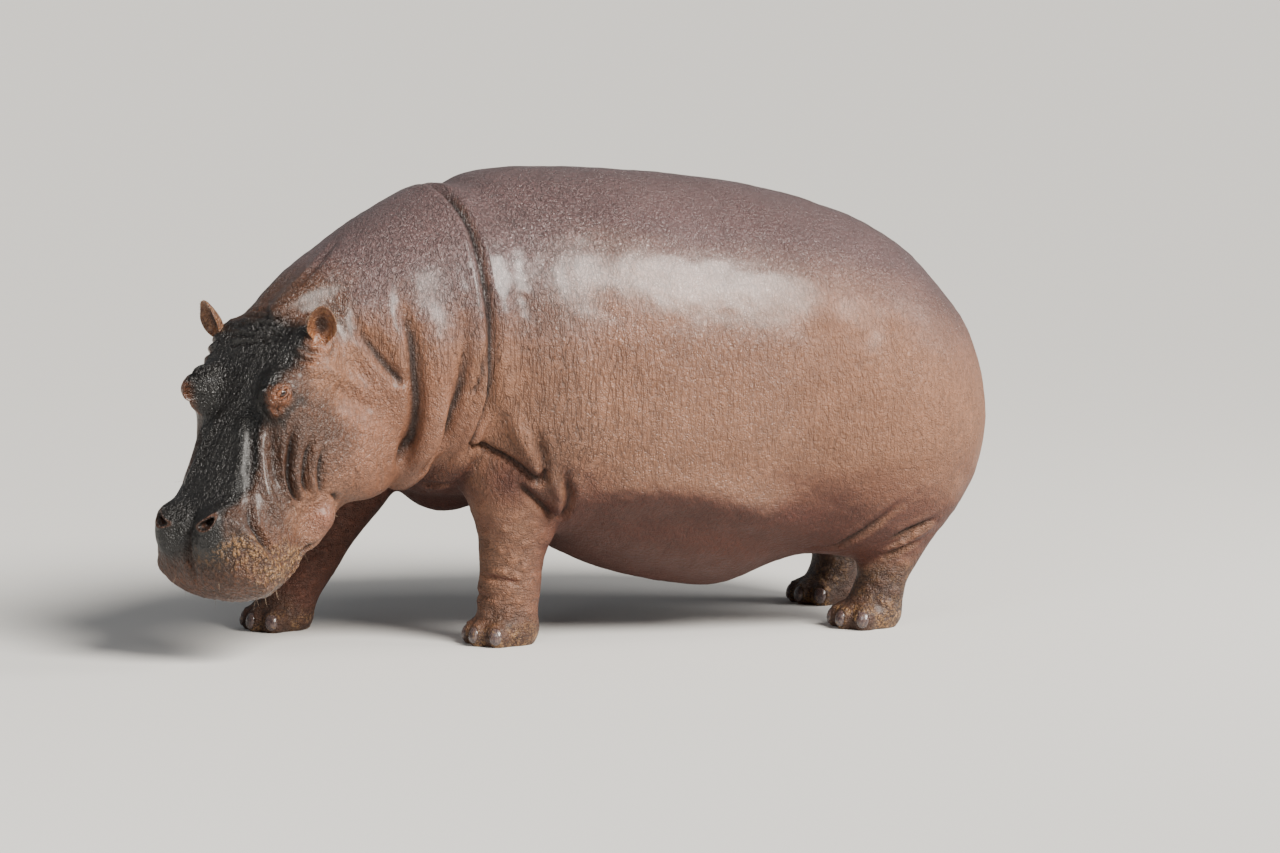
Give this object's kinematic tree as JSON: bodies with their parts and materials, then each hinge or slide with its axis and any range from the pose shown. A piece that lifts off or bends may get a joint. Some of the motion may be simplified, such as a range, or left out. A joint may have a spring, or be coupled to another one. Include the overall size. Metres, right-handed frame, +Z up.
{
  "type": "hippopotamus",
  "caption": "Life-size standing hippopotamus with its heavy head lowered and turned to its left, a still model.",
  "frame": {"origin": "bottom centre of the animal's bounding box, on the floor it stands on", "axes": "+Z up, +Y towards the rump, +X to the animal's own left. The head is at the -Y end, turned to +X"},
  "size_m": [1.2012, 2.73, 1.4407],
  "materials": {
    "hide": "wet, almost hairless thick skin, brown-grey above and pink-brown below, with fine net wrinkles and some dried mud",
    "eye": "wet eyeball, dark brown iris",
    "nail": "dark horn, worn and muddy"
  },
  "bodies": {
    "root": {"trunk": "hide", "neck": "hide", "head": "hide", "lower_jaw": "hide", "foreleg_left": "hide", "foreleg_right": "hide", "hindleg_left": "hide", "hindleg_right": "hide", "ear_left": "hide", "ear_right": "hide", "tail": "hide", "eye_left": "eye", "eye_right": "eye", "nail_foreleg_left_1": "nail", "nail_foreleg_left_2": "nail", "nail_foreleg_left_3": "nail", "nail_foreleg_left_4": "nail", "nail_foreleg_right_1": "nail", "nail_foreleg_right_2": "nail", "nail_foreleg_right_3": "nail", "nail_foreleg_right_4": "nail", "nail_hindleg_left_1": "nail", "nail_hindleg_left_2": "nail", "nail_hindleg_left_3": "nail", "nail_hindleg_left_4": "nail", "nail_hindleg_right_1": "nail", "nail_hindleg_right_2": "nail", "nail_hindleg_right_3": "nail", "nail_hindleg_right_4": "nail"}
  },
  "joints": []
}
